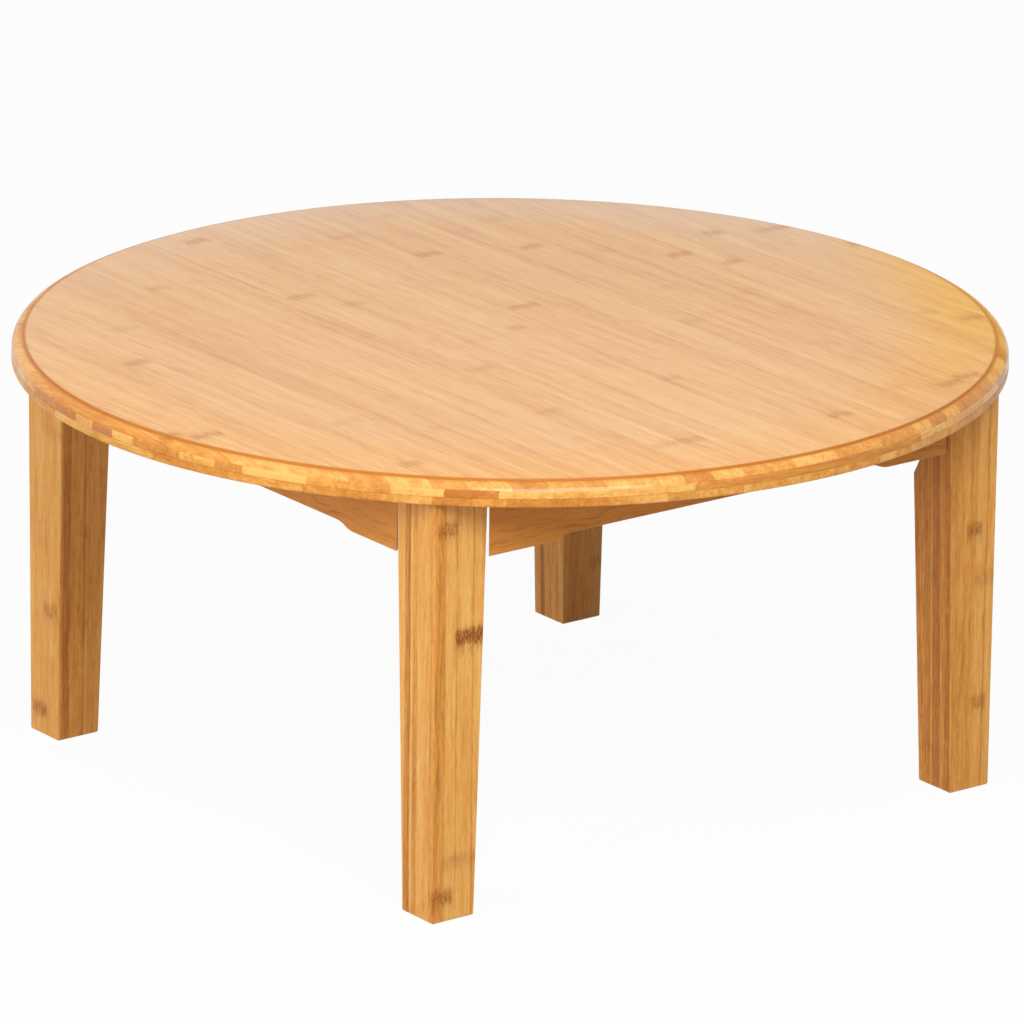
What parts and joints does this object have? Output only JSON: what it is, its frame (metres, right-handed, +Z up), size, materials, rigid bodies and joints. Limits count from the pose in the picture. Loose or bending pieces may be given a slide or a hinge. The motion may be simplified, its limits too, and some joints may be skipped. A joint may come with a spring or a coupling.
{
  "type": "folding low table",
  "caption": "Round low table with a stepped, rounded edge, mitred aprons and tapered legs that each fold inward on a diagonal pin and catch when open or shut.",
  "frame": {"origin": "on the floor, under the middle of the round top", "axes": "+Z is up; +X runs from the front leg to the right leg and +Y from the front leg to the left leg, along the sides of the apron square; each leg folds along a diagonal towards the middle"},
  "size_m": [0.7999, 0.8, 0.362],
  "materials": {
    "tabletop_bamboo": "laminated bamboo strips under satin clear lacquer",
    "apron_bamboo": "laminated bamboo under satin clear lacquer, grain along the length",
    "leg_bamboo": "laminated bamboo under satin clear lacquer, grain along the leg",
    "plated_steel": "zinc-plated pressed steel",
    "pin_steel": "turned steel, riveted ends",
    "spring_steel": "tempered spring steel, oiled",
    "screw_steel": "yellow-passivated zinc plate"
  },
  "bodies": {
    "top_and_aprons": {"tabletop_upper_ply": "tabletop_bamboo", "tabletop_lower_ply": "tabletop_bamboo", "front_right_apron": "apron_bamboo", "rear_right_apron": "apron_bamboo", "rear_left_apron": "apron_bamboo", "front_left_apron": "apron_bamboo", "front_hinge_plate_a": "plated_steel", "front_hinge_plate_b": "plated_steel", "right_hinge_plate_a": "plated_steel", "right_hinge_plate_b": "plated_steel", "rear_hinge_plate_a": "plated_steel", "rear_hinge_plate_b": "plated_steel", "left_hinge_plate_a": "plated_steel", "left_hinge_plate_b": "plated_steel", "hinge_plate_screws": "screw_steel", "apron_screws": "screw_steel"},
    "front_folding_leg": {"front_leg": "leg_bamboo", "front_hinge_channel": "plated_steel", "front_hinge_pin": "pin_steel", "front_catch_spring": "spring_steel", "front_channel_screws": "screw_steel"},
    "right_folding_leg": {"right_leg": "leg_bamboo", "right_hinge_channel": "plated_steel", "right_hinge_pin": "pin_steel", "right_catch_spring": "spring_steel", "right_channel_screws": "screw_steel"},
    "rear_folding_leg": {"rear_leg": "leg_bamboo", "rear_hinge_channel": "plated_steel", "rear_hinge_pin": "pin_steel", "rear_catch_spring": "spring_steel", "rear_channel_screws": "screw_steel"},
    "left_folding_leg": {"left_leg": "leg_bamboo", "left_hinge_channel": "plated_steel", "left_hinge_pin": "pin_steel", "left_catch_spring": "spring_steel", "left_channel_screws": "screw_steel"}
  },
  "joints": [
    {"name": "front_leg_fold", "type": "hinge", "parent": "top_and_aprons", "child": "front_folding_leg", "pos_m": [-0.254, -0.254, 0.308], "axis": [0.7071, -0.7071, 0], "range_deg": [0, 90], "deforming": ["front_catch_spring"]},
    {"name": "right_leg_fold", "type": "hinge", "parent": "top_and_aprons", "child": "right_folding_leg", "pos_m": [0.254, -0.254, 0.308], "axis": [0.7071, 0.7071, 0], "range_deg": [0, 90], "deforming": ["right_catch_spring"]},
    {"name": "rear_leg_fold", "type": "hinge", "parent": "top_and_aprons", "child": "rear_folding_leg", "pos_m": [0.254, 0.254, 0.308], "axis": [-0.7071, 0.7071, 0], "range_deg": [0, 90], "deforming": ["rear_catch_spring"]},
    {"name": "left_leg_fold", "type": "hinge", "parent": "top_and_aprons", "child": "left_folding_leg", "pos_m": [-0.254, 0.254, 0.308], "axis": [-0.7071, -0.7071, 0], "range_deg": [0, 90], "deforming": ["left_catch_spring"]}
  ]
}
